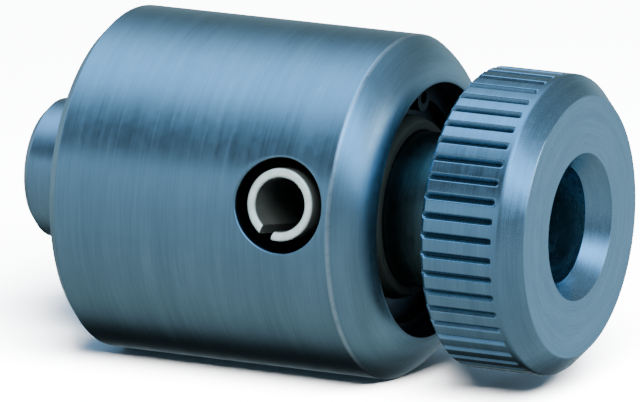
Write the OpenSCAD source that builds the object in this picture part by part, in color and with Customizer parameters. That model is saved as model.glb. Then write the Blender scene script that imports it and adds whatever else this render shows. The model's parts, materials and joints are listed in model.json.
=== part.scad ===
// Spring-compensated live center with a knurled cup nose.
// Millimetres. +X runs from the rear spigot to the cup nose, +Z is up,
// and the origin is on the axis at the housing's rear face (the mounting shoulder).

/* [Housing] */
// Outside diameter of the housing
body_d = 38; // [38:0.1:40]
// Length of the housing between its end faces
body_len = 38.1; // [38:0.1:38.8]
// Bore of the housing, in which the cartridge slides
bore_d = 28; // [27.8:0.1:28.2]
// Chamfer on the rear edge of the housing
rear_chamfer = 1.3; // [0.8:0.1:1.6]
// Axial length of the curved front shoulder
shoulder_len = 3.7; // [3.2:0.1:4]
// Drop in radius of the curved front shoulder
shoulder_drop = 4.7; // [3.6:0.1:4.8]
// Radius of the shoulder's curve
shoulder_r = 7.8; // [6:0.2:12]
// Diameter of the side window
window_d = 10.4; // [10:0.1:10.8]
// Angle of the window above the horizontal
window_tilt = 10.4; // [0:0.1:30]

/* [Rear spigot] */
// Diameter of the mounting spigot
spigot_d = 15.5; // [15:0.1:16]
// Length of the mounting spigot
spigot_len = 9; // [8.5:0.5:14]
// Bore of the draw thread (M10 core)
draw_bore_d = 8.5; // [8.5:0.1:9]

/* [Cup nose] */
// Outside diameter of the knurl
nose_d = 33; // [32.6:0.1:36]
// Length of the nose
nose_len = 11.5; // [11.3:0.1:13]
// Clear gap between the housing and the nose
nose_gap = 6.2; // [6:0.1:9]
// Diameter of the cup's bore
cup_bore_d = 12.8; // [12.4:0.1:13.2]
// Diameter of the cup's mouth
cup_mouth_d = 16.2; // [15:0.1:17]
// Depth of the cup's cone
cup_cone_len = 2.4; // [1.8:0.1:2.8]
// Number of teeth in the straight knurl
knurl_teeth = 48; // [40:1:60]
// Depth of the knurl's grooves
knurl_depth = 0.65; // [0.4:0.05:0.8]
// Chamfer on the nose's front edge
nose_chamfer = 2.2; // [1.6:0.1:2.6]

/* [Spring pin] */
// Diameter of the slotted spring pin
pin_d = 8; // [7.6:0.1:8.2]
// Wall thickness of the spring pin
pin_wall = 1.05; // [0.6:0.05:1.2]
// Width of the pin's slot
pin_slot = 1.5; // [1:0.1:2]
// Angle of the pin above the horizontal
pin_tilt = 10.7; // [10:0.1:11]

/* [Spindle] */
// Diameter of the spindle's neck
neck_d = 17; // [16.6:0.1:17]
// Diameter of the bearing journal
journal_d = 12; // [11.8:0.1:12]

/* [Bearings] */
// Number of balls in the radial bearing
radial_balls = 10; // [8:1:10]
// Number of balls in the thrust bearing
thrust_ball_count = 14; // [10:1:16]

/* [Hidden] */
$fn = 96;

body_r = body_d / 2;
bore_r = bore_d / 2;
front_r = body_r - shoulder_drop;
window_r = window_d / 2;
slide_clear = 0.03;
sleeve_r = bore_r - slide_clear;

// stations along the axis, from the mounting shoulder forward
plug_len = 4.3;
spring_len = 1.45;
shim_len = 0.5;
retainer_len = 4.5;
thrust_w = 5;
thrust_washer_w = 1.7;
bearing_w = 6;
ring_t = 1.2;
ring_play = 0.05;
recess_len = 2.8;
shim_x = plug_len + 2 * spring_len;
cart_x = shim_x + shim_len;
thrust_x = cart_x + retainer_len;
bearing_x = thrust_x + thrust_w;
wall_x = bearing_x + bearing_w;
ring_x = body_len - recess_len - ring_t - 0.1;
cart_end_x = ring_x - ring_play;
window_x = wall_x + 5.2;
nose_x = body_len + nose_gap;
nose_end_x = nose_x + nose_len;

// radii inside the housing
plug_r = 15;
plug_pocket_r = 7.6;
plug_pocket_x = 1.3;
thread_end_x = -0.7;
groove_r = bore_r + 0.7;
spigot_r = spigot_d / 2;
draw_r = draw_bore_d / 2;
spigot_chamfer = 1;
lock_r = 1.5;
lock_socket_af = 1.5;

// cartridge and its bearings
neck_r = neck_d / 2;
journal_r = journal_d / 2;
wall_bore_r = neck_r + 0.25;
race_seat_r = 12;
retainer_r = 12.5;
bush_r = 8;
running_clear = 0.03;
pitch_r = 9;
ball_r = 1.65;
groove_ball_r = ball_r + 0.1;
inner_ring_r = 7.85;
outer_ring_r = 10.15;
cage_r_in = 8.25;
cage_r_out = 9.75;
cage_back = 0.9;
cage_front = 2.2;
shield_t = 0.3;
shield_inset = 0.3;
shield_r = 8.15;
thrust_pitch_r = 8.6;
thrust_ball_r = 1.2;
thrust_groove_r = 1.25;
thrust_cage_t = 1;
thrust_in_r = 7;
thrust_out_r = 10.2;
o_ring_x = wall_x - 3;
o_ring_r = 0.6;
o_groove_depth = 1.22;
pin_r = pin_d / 2;
pin_in = 9;
pin_out = body_r - 0.4;
pin_chamfer = 0.35;
slot_angle = 248;

// spindle ends
tail_stud_r = 3;
tail_gap = 0.1;
tail_washer_t = 0.6;
tail_washer_r = 7.2;
tail_nut_af = 10;
tail_nut_len = 3.2;
tail_end_x = 2.6;
journal_end_x = cart_x - tail_gap;
stud_r = 7;
stud_end_x = nose_x + 4;
spindle_bore_r = 5;
spindle_bore_x = nose_x - 6;
spindle_drill_x = spindle_bore_x - 3;
nose_r = nose_d / 2;
nose_rear_chamfer = 0.5;
land_len = 2.9;
groove_half = 0.2;
knurl_phase = -1.4;

// disc springs and small parts
spring_t = 0.6;
spring_r_out = 13.7;
spring_r_in = 7.6;
dust_r = 10.3;
dust_len = 2;
dust_play = 0.15;
ring_r_in = 12.4;
ring_gap_angle = 24;
lug_r = 1.5;
lug_hole_r = 0.7;
lug_angle = 16;

// Points of an arc of radius r from a to b, bulging away from the axis.
function arc_points(a, b, r, n = 10) =
    let(d = b - a, c = norm(d), side = [d[1], -d[0]] / c,
        o = (a + b) / 2 + side * sqrt(r * r - c * c / 4),
        s = atan2(a[1] - o[1], a[0] - o[0]), e = atan2(b[1] - o[1], b[0] - o[0]))
    [for (i = [0 : n]) o + r * [cos(s + (e - s) * i / n), sin(s + (e - s) * i / n)]];

// Solid of revolution about +X from an outline of [x, radius] points.
module lathe(outline) {
    rotate([0, 90, 0]) rotate_extrude() polygon([for (p = outline) [p[1], p[0]]]);
}

// Round tube about +X.
module ring(x, len, r_in, r_out) {
    lathe([[x, r_in], [x, r_out], [x + len, r_out], [x + len, r_in]]);
}

// Plain cylinder about +X.
module bar(x, len, r) {
    translate([x, 0, 0]) rotate([0, 90, 0]) cylinder(h = len, r = r);
}

// Torus about +X.
module torus(x, pitch, r) {
    translate([x, 0, 0]) rotate([0, 90, 0]) rotate_extrude() translate([pitch, 0]) circle(r = r);
}

// Places its children so that their +Z points out of the side at an angle above horizontal.
module from_side(x, tilt) {
    translate([x, 0, 0]) rotate([90 - tilt, 0, 0]) children();
}

// Repeats its children n times about +X.
module around(n) {
    for (i = [0 : n - 1]) rotate([i * 360 / n, 0, 0]) children();
}

module housing() {
    color("slategray") difference() {
        lathe(concat([[0, plug_r], [0, body_r - rear_chamfer], [rear_chamfer, body_r]],
                     arc_points([body_len - shoulder_len, body_r], [body_len, front_r], shoulder_r),
                     [[body_len, bore_r], [ring_x + ring_t + 0.1, bore_r],
                      [ring_x + ring_t + 0.1, groove_r], [ring_x, groove_r], [ring_x, bore_r],
                      [plug_len, bore_r], [plug_len, plug_r]]));
        from_side(window_x, window_tilt) cylinder(h = body_r + 1, r = window_r);
        lock_hole();
    }
}

module lock_hole() {
    translate([0, 0, -plug_r]) bar(-1, plug_len + 1, lock_r);
}

module tail_plug() {
    color("gray") difference() {
        lathe([[-spigot_len, draw_r + 0.6], [-spigot_len, spigot_r - spigot_chamfer],
               [spigot_chamfer - spigot_len, spigot_r], [0, spigot_r], [0, plug_r],
               [plug_len, plug_r], [plug_len, plug_pocket_r], [plug_pocket_x, plug_pocket_r],
               [plug_pocket_x, 0], [thread_end_x, 0], [thread_end_x, draw_r],
               [0.6 - spigot_len, draw_r]]);
        lock_hole();
        // two holes for a pin wrench
        for (side = [-1, 1]) translate([0, side * 11.4, 0]) bar(-1, 3, 1.5);
    }
}

module plug_lock_screw() {
    color("dimgray") translate([0, 0, -plug_r]) difference() {
        bar(0.3, plug_len - 0.4, lock_r - 0.01);
        translate([0.2, 0, 0]) rotate([0, 90, 0])
            cylinder(h = 1.6, r = lock_socket_af / sqrt(3), $fn = 6);
    }
}

module snap_ring() {
    color("dimgray") translate([ring_x + 0.05, 0, 0]) rotate([0, 90, 0]) linear_extrude(ring_t)
    difference() {
        union() {
            difference() {
                circle(r = groove_r - 0.05);
                translate([0.4, 0]) circle(r = ring_r_in);
                polygon([[0, 0], 20 * [-cos(ring_gap_angle / 2), sin(ring_gap_angle / 2)],
                         20 * [-cos(ring_gap_angle / 2), -sin(ring_gap_angle / 2)]]);
            }
            for (side = [-1, 1]) rotate(180 + side * lug_angle) translate([12.1, 0]) circle(r = lug_r);
        }
        for (side = [-1, 1]) rotate(180 + side * lug_angle) translate([12.1, 0]) circle(r = lug_hole_r);
    }
}

// One conical disc spring between x and x + spring_len; flip puts its wide edge in front.
module disc_spring(x, flip) {
    rise = spring_len - spring_t;
    translate([x, 0, 0]) mirror([flip ? 1 : 0, 0, 0]) translate([flip ? -spring_len : 0, 0, 0])
        lathe([[0, spring_r_out], [spring_t, spring_r_out],
               [rise + spring_t, spring_r_in], [rise, spring_r_in]]);
}

module disc_spring_rear() {
    color("silver") disc_spring(plug_len, false);
}

module disc_spring_front() {
    color("silver") disc_spring(plug_len + spring_len, true);
}

module cartridge_sleeve() {
    color("lightsteelblue") difference() {
        lathe([[cart_x, retainer_r], [cart_x, sleeve_r - 0.3], [cart_x + 0.3, sleeve_r],
               [cart_end_x - 0.5, sleeve_r], [cart_end_x, sleeve_r - 0.5],
               [cart_end_x, wall_bore_r], [wall_x, wall_bore_r], [wall_x, race_seat_r],
               [thrust_x, race_seat_r], [thrust_x, retainer_r]]);
        ring(o_ring_x - 0.9, 1.8, sleeve_r - o_groove_depth, sleeve_r + 1);
        from_side(window_x, pin_tilt) cylinder(h = body_r, r = pin_r);
    }
}

module sleeve_o_ring() {
    color("black") torus(o_ring_x, sleeve_r - o_groove_depth + o_ring_r, o_ring_r - 0.01);
}

module spring_pin() {
    color("lightgray") from_side(window_x, pin_tilt) difference() {
        translate([0, 0, pin_in]) rotate_extrude()
            polygon([[pin_r - pin_wall, 0], [pin_r - pin_chamfer, 0], [pin_r, pin_chamfer],
                     [pin_r, pin_out - pin_in - pin_chamfer],
                     [pin_r - pin_chamfer, pin_out - pin_in], [pin_r - pin_wall, pin_out - pin_in]]);
        rotate(slot_angle) translate([0, -pin_slot / 2, 0]) cube([2 * pin_r, pin_slot, 2 * body_r]);
    }
}

module bearing_retainer() {
    color("gray") difference() {
        ring(cart_x, retainer_len, bush_r, retainer_r);
        for (side = [-1, 1]) translate([0, 0, side * 10.3]) bar(cart_x - 1, 2.5, 1);
    }
}

module tail_bush() {
    color("peru") ring(cart_x, retainer_len, journal_r + running_clear, bush_r);
}

module shim_washer() {
    color("silver") ring(shim_x, shim_len, bush_r + 0.6, sleeve_r - 0.2);
}

module thrust_housing_washer() {
    color("silver") difference() {
        ring(thrust_x, thrust_washer_w, journal_r + 0.4, race_seat_r);
        torus(thrust_x + thrust_w / 2, thrust_pitch_r, thrust_groove_r);
    }
}

module thrust_shaft_washer() {
    color("silver") difference() {
        ring(thrust_x + thrust_w - thrust_washer_w, thrust_washer_w, journal_r, outer_ring_r + 0.4);
        torus(thrust_x + thrust_w / 2, thrust_pitch_r, thrust_groove_r);
    }
}

module outer_spacer() {
    color("gray") ring(thrust_x + thrust_washer_w, thrust_w - thrust_washer_w, race_seat_r - 1,
                       race_seat_r);
}

module bearing_outer_ring() {
    color("silver") difference() {
        ring(bearing_x, bearing_w, outer_ring_r, race_seat_r);
        torus(bearing_x + bearing_w / 2, pitch_r, groove_ball_r);
    }
}

module bearing_inner_ring() {
    color("silver") difference() {
        ring(bearing_x, bearing_w, journal_r, inner_ring_r);
        torus(bearing_x + bearing_w / 2, pitch_r, groove_ball_r);
    }
}

module bearing_shields() {
    color("lightgray") for (x = [bearing_x + shield_inset,
                                 bearing_x + bearing_w - shield_inset - shield_t])
        ring(x, shield_t, shield_r, outer_ring_r);
}

module spindle() {
    color("darkslategray")
        lathe([[tail_end_x, 0], [tail_end_x, tail_stud_r], [journal_end_x, tail_stud_r],
               [journal_end_x, journal_r], [wall_x, journal_r], [wall_x, neck_r],
               [nose_x, neck_r], [nose_x, stud_r], [stud_end_x - 0.6, stud_r],
               [stud_end_x, stud_r - 0.6], [stud_end_x, spindle_bore_r],
               [spindle_bore_x, spindle_bore_r], [spindle_drill_x, 0]]);
}

module tail_washer() {
    color("silver") ring(journal_end_x - tail_washer_t, tail_washer_t, tail_stud_r, tail_washer_r);
}

module tail_nut() {
    color("gray") translate([journal_end_x - tail_washer_t - tail_nut_len, 0, 0]) rotate([0, 90, 0])
    difference() {
        cylinder(h = tail_nut_len, r = tail_nut_af / sqrt(3), $fn = 6);
        translate([0, 0, -1]) cylinder(h = tail_nut_len + 2, r = tail_stud_r);
    }
}

module dust_ring() {
    color("black") lathe([[cart_end_x + dust_play, neck_r],
                          [cart_end_x + dust_play, dust_r - 0.6],
                          [cart_end_x + dust_play + 0.5, dust_r],
                          [cart_end_x + dust_play + dust_len, dust_r - 0.9],
                          [cart_end_x + dust_play + dust_len, neck_r]]);
}

// Everything outside a straight knurl's teeth: one V groove every 360 / knurl_teeth degrees.
// The groove's sides carry on past the crest, so that the cutter clears the outside.
module knurl_cutter(len) {
    pitch = 360 / knurl_teeth;
    root_r = nose_r - knurl_depth;
    over = 0.3;
    crest = 0.5 - groove_half * (knurl_depth + over) / knurl_depth;
    linear_extrude(len) difference() {
        circle(r = nose_r + 2);
        polygon([for (i = [0 : knurl_teeth - 1], k = [-1, 1, 2])
                 let(a = (i + (k < 2 ? k * crest : 0.5)) * pitch,
                     r = k < 2 ? nose_r + over : root_r)
                 r * [cos(a), sin(a)]]);
    }
}

module cup_nose() {
    color("lightslategray") difference() {
        lathe([[nose_x, stud_r], [nose_x, nose_r - nose_rear_chamfer],
               [nose_x + nose_rear_chamfer, nose_r], [nose_end_x - nose_chamfer, nose_r],
               [nose_end_x, nose_r - nose_chamfer], [nose_end_x, cup_mouth_d / 2],
               [nose_end_x - cup_cone_len, cup_bore_d / 2],
               [stud_end_x, cup_bore_d / 2], [stud_end_x, stud_r]]);
        translate([nose_x - 1, 0, 0]) rotate([0, 90, 0]) rotate(knurl_phase)
            knurl_cutter(nose_len - land_len + 1);
    }
}

module bearing_cage() {
    mid_x = bearing_x + bearing_w / 2;
    color("goldenrod") difference() {
        ring(mid_x - cage_back, cage_back + cage_front, cage_r_in, cage_r_out);
        around(radial_balls) translate([mid_x, 0, pitch_r]) sphere(r = groove_ball_r);
    }
}

module bearing_balls() {
    color("white") around(radial_balls)
        translate([bearing_x + bearing_w / 2, 0, pitch_r]) sphere(r = ball_r);
}

module thrust_cage() {
    mid_x = thrust_x + thrust_w / 2;
    color("goldenrod") difference() {
        ring(mid_x - thrust_cage_t / 2, thrust_cage_t, thrust_in_r, thrust_out_r);
        around(thrust_ball_count) translate([0, 0, thrust_pitch_r])
            bar(mid_x - thrust_cage_t, 2 * thrust_cage_t, thrust_groove_r);
    }
}

module thrust_balls() {
    color("white") around(thrust_ball_count)
        translate([thrust_x + thrust_w / 2, 0, thrust_pitch_r]) sphere(r = thrust_ball_r);
}

housing();
tail_plug();
plug_lock_screw();
snap_ring();
disc_spring_rear();
disc_spring_front();
cartridge_sleeve();
sleeve_o_ring();
spring_pin();
bearing_retainer();
tail_bush();
shim_washer();
thrust_housing_washer();
outer_spacer();
bearing_outer_ring();
bearing_shields();
spindle();
bearing_inner_ring();
thrust_shaft_washer();
tail_washer();
tail_nut();
dust_ring();
cup_nose();
bearing_cage();
bearing_balls();
thrust_cage();
thrust_balls();
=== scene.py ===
import json
import math

import bmesh
import bpy
from mathutils import Matrix, Vector


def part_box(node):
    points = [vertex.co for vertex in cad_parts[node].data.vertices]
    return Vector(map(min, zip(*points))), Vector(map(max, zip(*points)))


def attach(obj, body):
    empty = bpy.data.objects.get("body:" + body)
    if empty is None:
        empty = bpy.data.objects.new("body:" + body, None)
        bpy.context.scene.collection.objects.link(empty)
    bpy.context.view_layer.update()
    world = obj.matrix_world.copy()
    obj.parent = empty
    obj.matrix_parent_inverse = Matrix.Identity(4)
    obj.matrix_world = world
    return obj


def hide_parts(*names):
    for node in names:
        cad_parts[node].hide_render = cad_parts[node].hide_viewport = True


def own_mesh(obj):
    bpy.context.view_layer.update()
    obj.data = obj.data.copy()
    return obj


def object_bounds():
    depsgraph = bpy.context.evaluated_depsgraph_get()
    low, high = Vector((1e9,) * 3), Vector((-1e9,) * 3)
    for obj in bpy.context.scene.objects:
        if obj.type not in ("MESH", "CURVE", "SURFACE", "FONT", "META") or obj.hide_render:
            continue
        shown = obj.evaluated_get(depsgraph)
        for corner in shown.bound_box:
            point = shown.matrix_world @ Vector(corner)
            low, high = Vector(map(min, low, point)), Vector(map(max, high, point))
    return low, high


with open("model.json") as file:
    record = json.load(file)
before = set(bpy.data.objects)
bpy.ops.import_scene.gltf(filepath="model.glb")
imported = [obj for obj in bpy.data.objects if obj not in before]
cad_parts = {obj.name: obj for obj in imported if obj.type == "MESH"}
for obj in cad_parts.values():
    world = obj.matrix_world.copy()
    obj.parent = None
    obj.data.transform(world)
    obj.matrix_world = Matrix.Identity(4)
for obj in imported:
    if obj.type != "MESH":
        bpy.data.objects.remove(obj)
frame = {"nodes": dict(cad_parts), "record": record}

CAD_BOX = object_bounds()
MM = 0.001

# ---------------------------------------------------------------- sizes, in millimetres


def x_span(node):
    """Rear and front x of a CAD node."""
    low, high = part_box(node)
    return low.x / MM, high.x / MM


def radius(node):
    """Outer radius of a CAD node, measured sideways."""
    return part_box(node)[1].y / MM


HOUSING_END = x_span("housing")[1]
BODY_R = radius("housing")
SHOULDER_LEN = 3.7
SHOULDER_DROP = 4.7
SHOULDER_R = 7.8
REAR_CHAMFER = 1.3
BORE_R = 14.0
PLUG_R = 15.0
PLUG_LEN = x_span("tail_plug")[1]
GROOVE_R = 14.7
RING_X, RING_END = x_span("snap_ring")

SPIGOT_X = x_span("tail_plug")[0]
SPIGOT_R = 7.75
DRAW_R = 4.25
DRAW_END = -0.7
POCKET_R = 7.6
POCKET_X = 1.3

PIN_R = 4.0
PIN_WALL = 1.05
PIN_SLOT = 1.5
PIN_TILT = 10.7
PIN_IN = 9.0
PIN_OUT = BODY_R - 0.4
PIN_SLOT_ANGLE = 248
PIN_X = sum(x_span("spring_pin")) / 2
WINDOW_R = 5.2
WINDOW_TILT = 10.4
WINDOW_EDGE = 0.28

# A bored hole is (base, direction, length, radius).
LOCK_HOLE = ((-1, 0, -PLUG_R), (1, 0, 0), PLUG_LEN + 1, 1.5)
WRENCH_HOLES = [((-1, y, 0), (1, 0, 0), 3, 1.5) for y in (-11.4, 11.4)]

NOSE_X, NOSE_END = x_span("cup_nose")
NOSE_R = radius("cup_nose")
NOSE_CHAMFER = 2.2
CUP_BORE_R = 6.4
CUP_MOUTH_R = 8.1
CUP_CONE = 2.4
TEETH = 48
KNURL_DEPTH = 0.65
KNURL_PHASE = math.radians(-1.4)
KNURL_HALF = 0.2
CREST_SOFT = 0.12
ROOT_SOFT = 0.15
LAND_LEN = 2.9

NECK_X = x_span("bearing_outer_ring")[1]
NECK_R = 8.5
JOURNAL_R = 6.0
STUD_R = 7.0
TAIL_STUD_R = 3.0
TAIL_X = x_span("spindle")[0]
STUD_END = x_span("spindle")[1]
SPINDLE_BORE_R = 5.0
SPINDLE_BORE_X = NOSE_X - 6
JOURNAL_X = x_span("tail_washer")[1]

DUST_X, DUST_END = x_span("dust_ring")
DUST_REAR_R = 10.3
DUST_FRONT_R = 9.6

DISC_T = 0.6

# ---------------------------------------------------------------- mesh building


def rounded(corners, steps=4):
    """Outline points of a closed loop of (x, r, fillet) corners, each rounded by its fillet."""
    out = []
    count = len(corners)
    for i, (x, r, fillet) in enumerate(corners):
        here = Vector((x, r))
        before = Vector(corners[i - 1][:2]) - here
        after = Vector(corners[(i + 1) % count][:2]) - here
        if fillet <= 0:
            out.append(here)
            continue
        half = before.angle(after) / 2
        reach = min(fillet / math.tan(half), 0.45 * before.length, 0.45 * after.length)
        real = reach * math.tan(half)
        middle = (before.normalized() + after.normalized()).normalized()
        centre = here + middle * (real / math.sin(half))
        first = here + before.normalized() * reach - centre
        last = here + after.normalized() * reach - centre
        turn = first.angle_signed(last)
        start = math.atan2(first.y, first.x)
        for k in range(steps + 1):
            angle = start - turn * k / steps
            out.append(centre + real * Vector((math.cos(angle), math.sin(angle))))
    return out


def arc_between(a, b, bow, steps):
    """Points after a and up to b on an arc of radius bow that bulges away from the axis."""
    a, b = Vector(a), Vector(b)
    chord = b - a
    side = Vector((chord.y, -chord.x)).normalized()
    centre = (a + b) / 2 + side * math.sqrt(bow ** 2 - chord.length_squared / 4)
    start = math.atan2(a.y - centre.y, a.x - centre.x)
    end = math.atan2(b.y - centre.y, b.x - centre.x)
    angles = [start + (end - start) * k / steps for k in range(1, steps + 1)]
    return [centre + bow * Vector((math.cos(t), math.sin(t))) for t in angles]


def clean(bm):
    """Welds doubled points, drops collapsed and loose parts and points every face outwards."""
    bmesh.ops.remove_doubles(bm, verts=bm.verts, dist=1e-4)
    bmesh.ops.dissolve_degenerate(bm, edges=bm.edges, dist=1e-5)
    loose = [e for e in bm.edges if not e.link_faces]
    bmesh.ops.delete(bm, geom=loose, context="EDGES")
    bmesh.ops.recalc_face_normals(bm, faces=bm.faces)


def as_object(name, bm):
    """A new object in the scene that takes over the bmesh."""
    mesh = bpy.data.meshes.new(name)
    bm.to_mesh(mesh)
    bm.free()
    thing = bpy.data.objects.new(name, mesh)
    bpy.context.scene.collection.objects.link(thing)
    return thing


def bored(bm, holes):
    """The bmesh with round holes cut into it."""
    clean(bm)
    work = as_object("work", bm)
    for base, direction, length, r in holes:
        drill = bmesh.new()
        bmesh.ops.create_cone(drill, cap_ends=True, segments=64, radius1=r, radius2=r, depth=length)
        turn = Vector(direction).to_track_quat("Z", "Y").to_matrix().to_4x4()
        middle = Vector(base) + Vector(direction).normalized() * length / 2
        bmesh.ops.transform(drill, matrix=Matrix.Translation(middle) @ turn, verts=drill.verts)
        cutter = as_object("cutter", drill)
        cut = work.modifiers.new("cut", "BOOLEAN")
        cut.operation = "DIFFERENCE"
        cut.solver = "EXACT"
        cut.object = cutter
    bpy.context.view_layer.update()
    result = bmesh.new()
    result.from_object(work, bpy.context.evaluated_depsgraph_get())
    for thing in [m.object for m in work.modifiers] + [work]:
        mesh = thing.data
        bpy.data.objects.remove(thing)
        bpy.data.meshes.remove(mesh)
    return result


def finish_mesh(name, bm, body, nodes, slot, smooth_angle=40):
    """Turns a bmesh in millimetres into a finished piece that rides on a body and replaces CAD nodes."""
    clean(bm)
    for v in bm.verts:
        v.co *= MM
    for face in bm.faces:
        face.smooth = True
    for edge in bm.edges:
        edge.smooth = len(edge.link_faces) < 2 or edge.calc_face_angle(0) < math.radians(smooth_angle)
    piece = as_object(name, bm)
    piece.data.materials.clear()
    piece.data.materials.append(MATERIALS[slot])
    weighted = piece.modifiers.new("even_shading", "WEIGHTED_NORMAL")
    weighted.keep_sharp = True
    weighted.weight = 50
    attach(piece, body)
    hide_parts(*nodes)
    return piece


def skin(bm, rows, wrap_rows=True, wrap_columns=True, skip=None):
    """Quads between rows of vertices, apart from those that skip(row, column) leaves out."""
    count = len(rows)
    width = len(rows[0])
    for i in range(count if wrap_rows else count - 1):
        above = rows[(i + 1) % count]
        for j in range(width if wrap_columns else width - 1):
            if skip and skip(i, j):
                continue
            k = (j + 1) % width
            corners = [rows[i][j], rows[i][k], above[k], above[j]]
            if len(set(corners)) == 4:
                bm.faces.new(corners)


def even_turns(columns):
    """Evenly spaced angles round the axis."""
    return [2 * math.pi * j / columns for j in range(columns)]


def around_axis(bm, outline, turns, reach=None):
    """Rows of vertices: each outline point turned round +X. reach(point, turn) may change its radius."""
    rows = []
    for point in outline:
        row = []
        for turn in turns:
            r = reach(point, turn) if reach else point[1]
            row.append(bm.verts.new((point[0], r * math.cos(turn), r * math.sin(turn))))
        rows.append(row)
    return rows


def turned(name, corners, body, nodes, slot):
    """A turned piece from a closed outline of (x, r, fillet) corners."""
    bm = bmesh.new()
    skin(bm, around_axis(bm, rounded(corners), even_turns(128)))
    return finish_mesh(name, bm, body, nodes, slot)


# ---------------------------------------------------------------- materials


ROUND_AXIS = 0.0006         # how far noise moves, in metres, on the way round a turned piece
# Painted shade: the near-black tone that hollows, gaps and undersides are darkened towards.
SHADE_TONE = (0.010, 0.016, 0.017)
# Painted highlight: the pale tone of a thin bright line along an edge.
HIGHLIGHT_TONE = (0.92, 0.97, 1.0)


class Nodes:
    """Short names for building a shader tree."""

    def __init__(self, owner, shader="ShaderNodeBsdfPrincipled", output="ShaderNodeOutputMaterial"):
        owner.use_nodes = True
        self.tree = owner.node_tree
        self.tree.nodes.clear()
        self.shader = self.tree.nodes.new(shader)
        self.link(self.shader.outputs[0], self.tree.nodes.new(output).inputs["Surface"])

    def link(self, source, target):
        self.tree.links.new(source, target)

    def feed(self, value, socket):
        """Gives a socket a number or a colour, or links it to another one."""
        if isinstance(value, (int, float)):
            socket.default_value = value
        elif isinstance(value, tuple):
            socket.default_value = (*value, 1)
        else:
            self.link(value, socket)

    def math(self, operation, *values):
        node = self.tree.nodes.new("ShaderNodeMath")
        node.operation = operation
        for socket, value in zip(node.inputs, values):
            self.feed(value, socket)
        return node.outputs[0]

    def noise(self, vector, w, scale, detail=3.0, rough=0.5):
        node = self.tree.nodes.new("ShaderNodeTexNoise")
        node.noise_dimensions = "4D"
        node.inputs["Scale"].default_value = scale
        node.inputs["Detail"].default_value = detail
        node.inputs["Roughness"].default_value = rough
        self.link(vector, node.inputs["Vector"])
        if w is not None:
            self.link(w, node.inputs["W"])
        return node.outputs["Fac"]

    def blend(self, factor, first, second):
        """A mix of two colours. Sockets 6, 7 and 2 are the Mix node's colour ones."""
        node = self.tree.nodes.new("ShaderNodeMix")
        node.data_type = "RGBA"
        self.link(factor, node.inputs[0])
        self.feed(first, node.inputs[6])
        self.feed(second, node.inputs[7])
        return node.outputs[2]

    def remap(self, value, low, high, to_low, to_high):
        node = self.tree.nodes.new("ShaderNodeMapRange")
        node.clamp = True
        self.link(value, node.inputs["Value"])
        for name, number in (("From Min", low), ("From Max", high),
                             ("To Min", to_low), ("To Max", to_high)):
            node.inputs[name].default_value = number
        return node.outputs[0]

    def combine(self, *values):
        node = self.tree.nodes.new("ShaderNodeCombineXYZ")
        for value, socket in zip(values, node.inputs):
            self.link(value, socket)
        return node.outputs[0]

    def place(self, kind="Object"):
        return self.tree.nodes.new("ShaderNodeTexCoord").outputs[kind]

    def split(self, vector):
        node = self.tree.nodes.new("ShaderNodeSeparateXYZ")
        self.link(vector, node.inputs[0])
        return node.outputs

    def turned_space(self, place):
        """Coordinates that stretch noise round the turning axis: a vector and a fourth value."""
        x, y, z = self.split(place)
        squares = self.math("ADD", self.math("MULTIPLY", y, y), self.math("MULTIPLY", z, z))
        r = self.math("MAXIMUM", self.math("SQRT", squares), 0.0001)
        across, up = [self.math("MULTIPLY", self.math("DIVIDE", side, r), ROUND_AXIS) for side in (y, z)]
        return self.combine(x, r, across), up

    def occlusion_shade(self, tone, unshaded_from=0.72):
        """Painted shade: the tone darkened by ambient occlusion in grooves, bores and gaps and near the
        floor, where shade falls.
        """
        node = self.tree.nodes.new("ShaderNodeAmbientOcclusion")
        node.samples = 8
        node.inputs["Distance"].default_value = 0.009
        depth = self.remap(node.outputs["AO"], unshaded_from - 0.36, unshaded_from, 0.92, 0)
        return self.blend(depth, tone, SHADE_TONE)

    def bump(self, height, strength, distance, below=None):
        node = self.tree.nodes.new("ShaderNodeBump")
        node.inputs["Strength"].default_value = strength
        node.inputs["Distance"].default_value = distance
        self.link(height, node.inputs["Height"])
        if below is not None:
            self.link(below, node.inputs["Normal"])
        return node.outputs[0]


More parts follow.
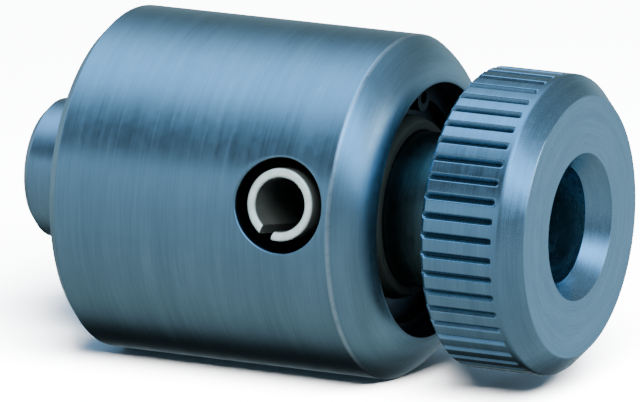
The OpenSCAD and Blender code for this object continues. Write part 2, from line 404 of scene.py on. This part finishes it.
def turned_metal(name, light, dark, rough=(0.26, 0.4), streak=0.5, anisotropy=0.5, stain=0.5,
                 unshaded_from=0.72, highlight_edge=None):
    """Lathe-turned metal: fine tool lines round the axis, soft stains and uneven polish.

    The edge argument is the x, in millimetres, of an edge that gets a thin painted highlight line, broken up
    by noise.
    """
    material = bpy.data.materials.new(name)
    n = Nodes(material)
    place = n.place()
    vector, w = n.turned_space(place)
    fine = n.noise(vector, w, 5200, 3.0, 0.6)
    broad = n.noise(vector, w, 900, 4.0, 0.6)
    cloud = n.noise(place, None, 190, 6.0, 0.65)
    speck = n.noise(place, None, 900, 3.0, 0.6)
    lines = n.math("ADD", n.math("MULTIPLY", fine, 0.5), n.math("MULTIPLY", broad, 0.5))
    tone = n.blend(n.remap(lines, 0.36, 0.64, 0, 1), dark, light)
    stains_and_highlight = n.blend(n.math("MULTIPLY", n.remap(cloud, 0.42, 0.72, 0, 1), stain), tone, dark)
    # Painted highlight: a thin bright line within about 0.3 mm of the edge's x, broken up by noise.
    if highlight_edge is not None:
        off = n.math("ABSOLUTE", n.math("SUBTRACT", n.split(place)[0], highlight_edge * MM))
        highlight_line = n.math("MULTIPLY", n.remap(off, 0.0001, 0.0003, 0.9, 0), n.remap(speck, 0.3, 0.5, 0.4, 1))
        stains_and_highlight = n.blend(highlight_line, stains_and_highlight, HIGHLIGHT_TONE)
    # Painted shade: the tone is darkened where ambient occlusion finds hollows, gaps or the floor nearby.
    n.link(n.occlusion_shade(stains_and_highlight, unshaded_from), n.shader.inputs["Base Color"])
    mixed = n.math("ADD", n.math("MULTIPLY", lines, 0.6), n.math("MULTIPLY", speck, 0.4))
    n.link(n.remap(mixed, 0.35, 0.65, *rough), n.shader.inputs["Roughness"])
    coarse = n.bump(broad, streak, 0.00003)
    n.link(n.bump(fine, streak, 0.000008, coarse), n.shader.inputs["Normal"])
    n.shader.inputs["Metallic"].default_value = 1.0
    n.shader.inputs["Anisotropic"].default_value = anisotropy
    n.shader.inputs["Anisotropic Rotation"].default_value = 0.25
    tangent = n.tree.nodes.new("ShaderNodeTangent")
    tangent.direction_type = "RADIAL"
    tangent.axis = "X"
    n.link(tangent.outputs[0], n.shader.inputs["Tangent"])
    return material


def plain_metal(name, light, dark, rough=(0.2, 0.4), scale=400, metallic=1.0, unshaded_from=0.72):
    """Ground, blacked or polished metal with cloudy tone and a fine grain."""
    material = bpy.data.materials.new(name)
    n = Nodes(material)
    place = n.place()
    cloud = n.noise(place, None, scale, 4.0, 0.6)
    grain = n.noise(place, None, scale * 12, 2.0, 0.6)
    tone = n.blend(n.remap(cloud, 0.35, 0.65, 0, 1), dark, light)
    # Painted shade: the tone is darkened where ambient occlusion finds hollows, gaps or the floor nearby.
    n.link(n.occlusion_shade(tone, unshaded_from), n.shader.inputs["Base Color"])
    n.link(n.remap(cloud, 0.3, 0.7, *rough), n.shader.inputs["Roughness"])
    n.link(n.bump(grain, 0.3, 0.000006), n.shader.inputs["Normal"])
    n.shader.inputs["Metallic"].default_value = metallic
    return material


def rubber(name):
    """Matt black nitrile with a faint grain."""
    material = bpy.data.materials.new(name)
    n = Nodes(material)
    place = n.place()
    cloud = n.noise(place, None, 500, 4.0, 0.6)
    grain = n.noise(place, None, 9000, 2.0, 0.6)
    n.link(n.blend(cloud, (0.0008, 0.0012, 0.0012), (0.002, 0.003, 0.003)), n.shader.inputs["Base Color"])
    n.link(n.remap(cloud, 0.3, 0.7, 0.55, 0.8), n.shader.inputs["Roughness"])
    n.link(n.bump(grain, 0.4, 0.00001), n.shader.inputs["Normal"])
    n.shader.inputs["Specular IOR Level"].default_value = 0.04
    return material


MATERIALS = {
    # The housing gets a thin painted highlight line where the shoulder starts.
    "turned_housing": turned_metal("turned_housing", (0.52, 0.69, 0.77), (0.38, 0.52, 0.59),
                                   highlight_edge=HOUSING_END - SHOULDER_LEN + 0.1),
    "turned_nose": turned_metal("turned_nose", (0.49, 0.68, 0.80), (0.36, 0.52, 0.63), (0.2, 0.33),
                                stain=0.3),
    "turned_spindle": turned_metal("turned_spindle", (0.34, 0.46, 0.43), (0.22, 0.31, 0.29),
                                   unshaded_from=0.55),
    "turned_plug": turned_metal("turned_plug", (0.52, 0.66, 0.74), (0.38, 0.50, 0.58)),
    # Painted shade: the sleeve is given a near-black tone so the gap round the pin in the side window reads
    # as deep shade.
    "ground_sleeve": turned_metal("ground_sleeve", (0.16, 0.20, 0.22), (0.08, 0.10, 0.12)),
    # The pin is darkened by painted shade far more readily than the other parts, most of all in its bore.
    "bright_pin": plain_metal("bright_pin", (0.80, 0.92, 0.85), (0.62, 0.74, 0.68), (0.3, 0.5), 900,
                              metallic=0.95, unshaded_from=0.97),
    "black_oxide": plain_metal("black_oxide", (0.07, 0.08, 0.09), (0.03, 0.035, 0.04), (0.35, 0.55)),
    "spring_steel": plain_metal("spring_steel", (0.36, 0.38, 0.40), (0.22, 0.24, 0.26)),
    "bearing_steel": turned_metal("bearing_steel", (0.66, 0.68, 0.70), (0.5, 0.52, 0.55), (0.14, 0.24), 0.2),
    "shield_sheet": plain_metal("shield_sheet", (0.58, 0.60, 0.61), (0.45, 0.47, 0.48)),
    "bright_balls": plain_metal("bright_balls", (0.80, 0.81, 0.82), (0.72, 0.73, 0.74), (0.05, 0.1)),
    "cage_brass": plain_metal("cage_brass", (0.75, 0.56, 0.24), (0.58, 0.40, 0.15)),
    "bronze": plain_metal("bronze", (0.55, 0.37, 0.20), (0.38, 0.24, 0.12), (0.35, 0.55), 1500),
    "seal_rubber": rubber("seal_rubber"),
}

# ---------------------------------------------------------------- housing


def side_frame(tilt):
    """Unit vectors of the side window: out of the window, and up along the surface."""
    a = math.radians(tilt)
    return Vector((0, -math.cos(a), math.sin(a))), Vector((0, math.sin(a), math.cos(a)))


WINDOW_COLUMNS = 24
PATCH_RINGS = 5
EDGE_STEPS = 5
OUTER_REACH = 5.8           # half width of the patch of grid that makes room for the window
INNER_REACH = 5.35


def grid_xs(reach):
    """Places along the axis of the grid lines that cross the window's patch."""
    return [PIN_X + reach * (2 * k / WINDOW_COLUMNS - 1) for k in range(WINDOW_COLUMNS + 1)]


def grid_turns(r, reach, rest=168):
    """Angles round the axis, measured from the window: a fine group across it, then the rest."""
    half = math.asin(reach / r)
    group = [half * (2 * k / WINDOW_COLUMNS - 1) for k in range(WINDOW_COLUMNS + 1)]
    return group + [half + (2 * math.pi - 2 * half) * k / rest for k in range(1, rest)]


def housing_outline():
    """The barrel's outline: the outside from the rear face forward, and the bore on the way back."""
    shoulder_x = HOUSING_END - SHOULDER_LEN
    front_r = BODY_R - SHOULDER_DROP
    groove_rear, groove_end = RING_X - 0.05, RING_END + 0.05
    outside = rounded([(0, PLUG_R, 0.1), (0, BODY_R - REAR_CHAMFER, 0.2), (REAR_CHAMFER, BODY_R, 0.25),
                       (20, BODY_R, 0), (20, PLUG_R, 0)])[:-2]
    outside += [Vector((x, BODY_R)) for x in [4, 8, 12, 16, 19] + grid_xs(OUTER_REACH)]
    outside += [Vector((shoulder_x - 0.1, BODY_R)), Vector((shoulder_x, BODY_R))]
    outside += arc_between((shoulder_x, BODY_R), (HOUSING_END, front_r), SHOULDER_R, 36)
    inside = rounded([(HOUSING_END, front_r, 0), (HOUSING_END, BORE_R, 0.12),
                      (HOUSING_END - 1, BORE_R, 0)])[1:-1]
    inside += rounded([(groove_end + 1, BORE_R, 0), (groove_end, BORE_R, 0.08), (groove_end, GROOVE_R, 0.08),
                       (groove_rear, GROOVE_R, 0.08), (groove_rear, BORE_R, 0.08),
                       (RING_X - 0.1, BORE_R, 0)])[1:-1]
    inside += [Vector((x, BORE_R)) for x in grid_xs(-INNER_REACH) + [19, 12, 6]]
    inside += rounded([(PLUG_LEN + 3, BORE_R, 0), (PLUG_LEN, BORE_R, 0.1), (PLUG_LEN, PLUG_R, 0.1),
                       (PLUG_LEN - 1, PLUG_R, 0)])[1:-1]
    return outside, inside + [Vector((PLUG_LEN / 2, PLUG_R))]


def window_place(x, side, height):
    """A point from its place along the axis, up the surface and out of the window."""
    out, up = side_frame(WINDOW_TILT)
    return Vector((x, 0, 0)) + up * side + out * height


def window_flat(v):
    """A vertex as (along the axis, up the surface) from the window's centre."""
    return Vector((v.co.x - PIN_X, v.co.dot(side_frame(WINDOW_TILT)[1])))


def patch_border(rows):
    """The vertices round the opened part of the grid: rising x, then up, back and down again."""
    loop = [row[0] for row in rows]
    loop += rows[-1][1:WINDOW_COLUMNS + 1]
    loop += [row[WINDOW_COLUMNS] for row in reversed(rows[:-1])]
    return loop + rows[0][WINDOW_COLUMNS - 1:0:-1]


def patch_rings(bm, loop, spokes, surface_r, hole_r):
    """Rings on a round surface, from the square border to a round hole."""
    made = [loop]
    for k in range(1, PATCH_RINGS + 1):
        row = []
        for v, spoke in zip(loop, spokes):
            p = window_flat(v).lerp(spoke * hole_r, k / PATCH_RINGS)
            row.append(bm.verts.new(window_place(PIN_X + p.x, p.y, math.sqrt(surface_r ** 2 - p.y ** 2))))
        made.append(row)
    return made


def window_edge(bm, spokes):
    """Rings of the window's rounded outer edge."""
    made = []
    for k in range(1, EDGE_STEPS + 1):
        a = math.pi / 2 * k / EDGE_STEPS
        r = WINDOW_R + WINDOW_EDGE * (1 - math.sin(a))
        sink = WINDOW_EDGE * (1 - math.cos(a))
        row = []
        for s in spokes:
            height = math.sqrt(BODY_R ** 2 - (r * s.y) ** 2) - sink
            row.append(bm.verts.new(window_place(PIN_X + r * s.x, r * s.y, height)))
        made.append(row)
    return made


def make_housing():
    """The barrel as one mesh. Its grid opens into rings round the side window, outside and inside."""
    bm = bmesh.new()
    outside, inside = housing_outline()
    rows, crossing = [], []
    for points, r, reach in ((outside, BODY_R, OUTER_REACH), (inside, BORE_R, INNER_REACH)):
        turns = grid_turns(r, reach)
        crossing.append([len(rows) + i for i, p in enumerate(points)
                         if abs(p[0] - PIN_X) <= reach + 1e-6 and abs(p[1] - r) < 1e-6])
        for p in points:
            rows.append([bm.verts.new(window_place(p[0], p[1] * math.sin(t), p[1] * math.cos(t)))
                         for t in turns])
    opened = set(crossing[0][:-1] + crossing[1][:-1])
    skin(bm, rows, skip=lambda i, j: i in opened and j < WINDOW_COLUMNS)

    outer_loop = patch_border([rows[i] for i in crossing[0]])
    inner_loop = patch_border([rows[i] for i in reversed(crossing[1])])
    spokes = [window_flat(v).normalized() for v in outer_loop]
    outer = patch_rings(bm, outer_loop, spokes, BODY_R, WINDOW_R + WINDOW_EDGE) + window_edge(bm, spokes)
    inner = patch_rings(bm, inner_loop, spokes, BORE_R, WINDOW_R)
    wall = [[bm.verts.new(a.co.lerp(b.co, share)) for a, b in zip(outer[-1], inner[-1])]
            for share in (0.25, 0.5, 0.75)]
    skin(bm, outer + wall + inner[::-1], wrap_rows=False)
    return finish_mesh("housing_shell", bored(bm, [LOCK_HOLE]), "housing", ["housing"], "turned_housing")


# ---------------------------------------------------------------- nose, spindle and pin


def knurl_share(turn):
    """Depth of the knurl's groove, from 0 on the crest to 1 at the root, with both softened."""
    part = (turn - KNURL_PHASE) * TEETH / (2 * math.pi) % 1.0
    away = abs(part - 0.5) / KNURL_HALF
    if away >= 1 + CREST_SOFT:
        return 0.0
    if away > 1 - CREST_SOFT:
        return (1 + CREST_SOFT - away) ** 2 / (4 * CREST_SOFT)
    if away < ROOT_SOFT:
        return 1 - ROOT_SOFT / 2 - away ** 2 / (2 * ROOT_SOFT)
    return 1 - away


# Shares of one tooth where the mesh has a column, close together on the groove's edges and root.
KNURL_STEPS = [0, 0.14, 0.25, 0.275, 0.30, 0.325, 0.35, 0.40, 0.44, 0.475, 0.5,
               0.525, 0.56, 0.60, 0.65, 0.675, 0.70, 0.725, 0.75, 0.86]


def make_nose():
    """Knurled disc with a plain land, chamfered front edge and coned bore."""
    bm = bmesh.new()
    knurl_end = NOSE_END - LAND_LEN
    outline = rounded([(NOSE_X, STUD_R, 0.1), (NOSE_X, NOSE_R - 0.5, 0.12), (NOSE_X + 0.5, NOSE_R, 0.12),
                       (NOSE_X + 5, NOSE_R, 0), (NOSE_X + 5, STUD_R, 0)])[:-2]
    outline += [Vector((x, NOSE_R)) for x in (NOSE_X + 1.0, NOSE_X + 2.5, NOSE_X + 4.5, NOSE_X + 6.5)]
    outline += [Vector((knurl_end + x, NOSE_R)) for x in (-0.7, -0.5, -0.3, -0.15, 0, 0.15)]
    outline += rounded([(knurl_end, NOSE_R, 0), (NOSE_END - NOSE_CHAMFER, NOSE_R, 0.7),
                        (NOSE_END, NOSE_R - NOSE_CHAMFER, 0.5), (NOSE_END, CUP_MOUTH_R, 0.12),
                        (NOSE_END - CUP_CONE, CUP_BORE_R, 0.12), (STUD_END, CUP_BORE_R, 0.05),
                        (STUD_END, STUD_R, 0.05), (NOSE_X + 1, STUD_R, 0)], 5)[1:]
    turns = [KNURL_PHASE + 2 * math.pi * (tooth + step) / TEETH
             for tooth in range(TEETH) for step in KNURL_STEPS]

    def reach(point, turn):
        x, r = point
        if r < NOSE_R - 1.2 or x > knurl_end:
            return r
        runout = min(1.0, max(0.0, (knurl_end - x) / 0.5))
        floor = NOSE_R - KNURL_DEPTH * knurl_share(turn) * math.sin(runout * math.pi / 2)
        return min(r, floor)

    skin(bm, around_axis(bm, outline, turns, reach))
    return finish_mesh("cup_nose_knurled", bm, "spindle", ["cup_nose"], "turned_nose", smooth_angle=50)


def make_spindle():
    """Shaft with its tail stud, journal, neck and front stud, bored at the front."""
    bm = bmesh.new()
    outline = [Vector((TAIL_X, 0))]
    outline += rounded([(TAIL_X, 0, 0), (TAIL_X, TAIL_STUD_R, 0.3), (JOURNAL_X, TAIL_STUD_R, 0.1),
                        (JOURNAL_X, JOURNAL_R, 0.3), (NECK_X, JOURNAL_R, 0.2), (NECK_X, NECK_R, 0.25),
                        (NOSE_X, NECK_R, 0.15), (NOSE_X, STUD_R, 0.1), (STUD_END, STUD_R, 0.6),
                        (STUD_END, SPINDLE_BORE_R, 0.2), (SPINDLE_BORE_X, SPINDLE_BORE_R, 0.2),
                        (SPINDLE_BORE_X - 3, 0, 0)])[1:]
    skin(bm, around_axis(bm, outline, even_turns(144)), wrap_rows=False)
    return finish_mesh("spindle_shaft", bm, "spindle", ["spindle"], "turned_spindle")


def make_spring_pin():
    """Rolled pin: one rounded wall section, swept round the pin's axis from lip to lip of the slot."""
    bm = bmesh.new()
    out, up = side_frame(PIN_TILT)
    section = rounded([(PIN_IN, PIN_R - PIN_WALL, 0.12), (PIN_IN, PIN_R, 0.4),
                       (PIN_OUT, PIN_R, 0.42), (PIN_OUT, PIN_R - PIN_WALL, 0.36)], 5)
    columns = 96
    rows = []
    for height, r in section:
        lip = math.asin(PIN_SLOT / 2 / r)
        row = []
        for j in range(columns + 1):
            turn = math.radians(PIN_SLOT_ANGLE) + lip + (2 * math.pi - 2 * lip) * j / columns
            spot = Vector((PIN_X + r * math.cos(turn), 0, 0)) + up * r * math.sin(turn) + out * height
            row.append(bm.verts.new(spot))
        rows.append(row)
    skin(bm, rows, wrap_columns=False)
    lips = [bm.faces.new([row[0] for row in rows]), bm.faces.new([row[-1] for row in reversed(rows)])]
    bmesh.ops.bevel(bm, geom=[e for f in lips for e in f.edges], offset=0.07, segments=2, profile=0.5,
                    affect="EDGES")
    return finish_mesh("slotted_spring_pin", bm, "cartridge", ["spring_pin"], "bright_pin")


# ---------------------------------------------------------------- tail plug


THREAD_STEPS = 12           # grid lines along one pitch of the draw thread


def make_tail_plug():
    """Plug and spigot, with the draw thread as a real helix inside it."""
    bm = bmesh.new()
    pitch, depth = 1.5, 0.75
    outline = rounded([(SPIGOT_X, DRAW_R + 0.8, 0.05), (SPIGOT_X, SPIGOT_R - 1, 0.15),
                       (SPIGOT_X + 1, SPIGOT_R, 0.2), (0, SPIGOT_R, 0.15), (0, PLUG_R, 0.1),
                       (PLUG_LEN, PLUG_R, 0.1), (PLUG_LEN, POCKET_R, 0.1), (POCKET_X, POCKET_R, 0.1),
                       (POCKET_X, 0, 0), (-20, 0, 0)])[:-1]
    steps = int((DRAW_END - SPIGOT_X - 1.1) / pitch * THREAD_STEPS)
    outline += [Vector((DRAW_END, 0)), Vector((DRAW_END, DRAW_R - 0.6)), Vector((DRAW_END - 0.3, DRAW_R))]
    outline += [Vector((DRAW_END - 0.35 - k * pitch / THREAD_STEPS, DRAW_R)) for k in range(steps)]
    outline += [Vector((SPIGOT_X + 0.8, DRAW_R + 0.02))]

    def reach(point, turn):
        x, r = point
        if abs(r - DRAW_R) > 0.01 or x < SPIGOT_X + 0.8:
            return r
        phase = (x / pitch + turn / (2 * math.pi)) % 1.0
        tooth = min(1.0, max(0.0, 1.25 * (1 - abs(2 * phase - 1)) - 0.12))
        fade = min(1.0, max(0.0, (DRAW_END - 1.4 - x) / 0.8))
        return DRAW_R + depth * tooth * fade

    skin(bm, around_axis(bm, outline, even_turns(120), reach))
    return finish_mesh("tail_plug_turned", bored(bm, [LOCK_HOLE] + WRENCH_HOLES), "housing", ["tail_plug"],
                       "turned_plug", smooth_angle=35)


# ---------------------------------------------------------------- pieces inside


def keep(node, slot):
    """A CAD node whose shape is right keeps its mesh and takes a finished material."""
    piece = frame["nodes"][node]
    piece.data.materials.clear()
    piece.data.materials.append(MATERIALS[slot])


def make_disc_spring(node, steep):
    """A conical spring plate that flattens against the tail plug as the cartridge is pushed back.

    steep is 1 if the plate's outer edge is its rear, and -1 if it is its front.
    """
    low, high = x_span(node)
    wide, narrow = (low, high) if steep > 0 else (high, low)
    thick = steep * DISC_T
    plate = turned(node + "_plate", [(wide, radius(node), 0.12), (wide + thick, radius(node), 0.12),
                                     (narrow, POCKET_R, 0.12), (narrow - thick, POCKET_R, 0.12)],
                   "housing", [node], "spring_steel")
    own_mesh(plate)


make_housing()
make_nose()
make_spindle()
make_spring_pin()
make_tail_plug()

for disc, steep in (("disc_spring_rear", 1), ("disc_spring_front", -1)):
    make_disc_spring(disc, steep)

turned("dust_ring_rubber", [(DUST_X, NECK_R, 0.1), (DUST_X, DUST_REAR_R, 0.4), (DUST_END, DUST_FRONT_R, 0.4),
                            (DUST_END, NECK_R, 0.3)],
       "spindle", ["dust_ring"], "seal_rubber")

SLOT_OF = {row["node"]: row["material_slot"] for row in frame["record"]["subparts"]}
REPLACED = {"housing", "cup_nose", "spindle", "spring_pin", "tail_plug", "dust_ring",
            "disc_spring_rear", "disc_spring_front"}
for node, slot in SLOT_OF.items():
    if node not in REPLACED:
        keep(node, slot)

# ---------------------------------------------------------------- stage, light and camera

CENTRE = Vector((24.226, 0, 0)) * MM
FLOOR_Z = CAD_BOX[0].z
FLOOR_HALF = 3.0
CAMERA_AZIMUTH = 26.55
CAMERA_ELEVATION = 13.39
CAMERA_DISTANCE = 1.2208
CAMERA_DROP = 0.45
KEY_SIZE = 0.6
KEY_POWER = 230


def floor_material():
    """Matt white paper with a barely uneven tone."""
    material = bpy.data.materials.new("pale_floor")
    n = Nodes(material)
    tone = n.noise(n.place(), None, 6)
    n.link(n.blend(tone, (0.92, 0.93, 0.94), (0.94, 0.95, 0.96)), n.shader.inputs["Base Color"])
    n.shader.inputs["Roughness"].default_value = 0.9
    n.shader.inputs["Specular IOR Level"].default_value = 0.1
    return material


def make_floor():
    """One large square that the part lies on."""
    bm = bmesh.new()
    corners = [(x * FLOOR_HALF, y * FLOOR_HALF, 0) for x, y in ((-1, -1), (1, -1), (1, 1), (-1, 1))]
    bm.faces.new([bm.verts.new(c) for c in corners])
    floor = as_object("floor", bm)
    floor.location.z = FLOOR_Z
    floor.data.materials.append(floor_material())
    floor.visible_glossy = False


def toward(azimuth, elevation):
    """Unit vector from the part towards a point of the studio, in degrees from the part's front."""
    a, e = math.radians(azimuth), math.radians(elevation)
    return Vector((math.sin(a) * math.cos(e), -math.cos(a) * math.cos(e), math.sin(e)))


def make_key():
    """One broad soft light high in front. The metal mirrors the studio's bands, not the lamp."""
    light = bpy.data.lights.new("key", "AREA")
    light.shape = "RECTANGLE"
    light.size, light.size_y = KEY_SIZE, KEY_SIZE
    light.energy = KEY_POWER
    key = bpy.data.objects.new("key", light)
    key.location = CENTRE + toward(CAMERA_AZIMUTH + 14, 46) * 0.9
    key.rotation_euler = (CENTRE - key.location).to_track_quat("-Z", "Y").to_euler()
    key.visible_glossy = False
    bpy.context.scene.collection.objects.link(key)


# Bands of the studio round the turning axis, as (degrees, level, blueness) from 0 behind through
# 90 below, 180 in front and 270 above.
BODY_BANDS = [(0, 0.22, 0.0), (28, 0.25, 0.0), (38, 0.05, 0.0), (50, 0.014, 0.0), (66, 0.02, 0.0),
              (78, 0.055, 0.0), (105, 0.125, 0.0), (150, 0.145, 0.1), (185, 0.18, 0.2), (203, 0.25, 0.3),
              (210, 0.05, 0.0), (228, 0.03, 0.0), (239, 0.11, 0.1), (248, 0.24, 0.3), (256, 0.45, 0.5),
              (275, 0.58, 0.55), (290, 0.48, 0.45), (300, 0.32, 0.3), (315, 0.14, 0.2), (330, 0.08, 0.0),
              (345, 0.10, -0.1), (360, 0.22, 0.0)]
FRONT_BANDS = [(0, 0.22, 0.1), (28, 0.25, 0.1), (50, 0.18, 0.0), (75, 0.13, 0.0), (160, 0.15, 0.1),
               (190, 0.09, 0.1), (205, 0.10, 0.1), (222, 0.34, 0.3), (236, 0.85, 0.6), (256, 0.75, 0.6),
               (268, 0.26, 0.3), (284, 0.12, 0.2), (340, 0.09, 0.0), (360, 0.25, 0.1)]
BAND_LEVEL = 2.0
BACKDROP_LEVEL = 11.0
STUDIO_TINT = (0.73, 1.03, 1.18)
WINDOW_LEVEL = 1.3
WINDOW_WAY = (0.93, 0.246, 0.273)


def band_ramp(n, position, bands):
    """A colour ramp round the turning axis from (degrees, level, blueness) stops."""
    ramp = n.tree.nodes.new("ShaderNodeValToRGB")
    stops = ramp.color_ramp.elements
    while len(stops) > 1:
        stops.remove(stops[-1])
    for k, (degrees, level, blue) in enumerate(bands):
        stop = stops[0] if k == 0 else stops.new(degrees / 360)
        stop.position = degrees / 360
        shades = (1 - 0.7 * blue, 1, 1 + blue)
        stop.color = (*[level * shade * tint for shade, tint in zip(shades, STUDIO_TINT)], 1)
    n.link(position, ramp.inputs[0])
    return ramp.outputs[0]


def make_world():
    """Studio surroundings in soft bands round the turning axis, other ones towards the front end.

    A small bright window stands behind the front end. The camera itself sees a white backdrop.
    """
    world = bpy.data.worlds.new("studio")
    bpy.context.scene.world = world
    n = Nodes(world, "ShaderNodeBackground", "ShaderNodeOutputWorld")
    way = n.place("Generated")
    x, y, z = n.split(way)
    angle = n.math("ARCTAN2", z, n.math("MULTIPLY", y, -1))
    position = n.remap(angle, -math.pi, math.pi, 0, 1)
    bands = n.blend(n.remap(x, -0.25, 0.35, 0, 1), band_ramp(n, position, BODY_BANDS),
                    band_ramp(n, position, FRONT_BANDS))
    near = n.tree.nodes.new("ShaderNodeVectorMath")
    near.operation = "DOT_PRODUCT"
    n.link(way, near.inputs[0])
    near.inputs[1].default_value = WINDOW_WAY
    lit = n.blend(n.remap(near.outputs["Value"], 0.965, 0.99, 0, 1), bands,
                  (WINDOW_LEVEL * 0.7, WINDOW_LEVEL, WINDOW_LEVEL * 1.3))
    seen = n.tree.nodes.new("ShaderNodeLightPath").outputs["Is Camera Ray"]
    n.link(n.blend(seen, lit, (1, 1, 1)), n.shader.inputs["Color"])
    n.link(n.remap(seen, 0, 1, BAND_LEVEL, BACKDROP_LEVEL), n.shader.inputs["Strength"])


def make_camera():
    """A long lens at the photograph's angle."""
    back = toward(CAMERA_AZIMUTH, CAMERA_ELEVATION)
    right = toward(CAMERA_AZIMUTH + 90, 0)
    up = back.cross(right)
    data = bpy.data.cameras.new("camera")
    data.lens = 626.0
    data.sensor_width = 36
    data.clip_start, data.clip_end = 0.01, 20
    camera = bpy.data.objects.new("camera", data)
    camera.location = CENTRE - up * CAMERA_DROP * MM + back * CAMERA_DISTANCE
    camera.rotation_euler = back.to_track_quat("Z", "Y").to_euler()
    bpy.context.scene.collection.objects.link(camera)
    bpy.context.scene.camera = camera


make_camera()
make_floor()
make_world()
make_key()
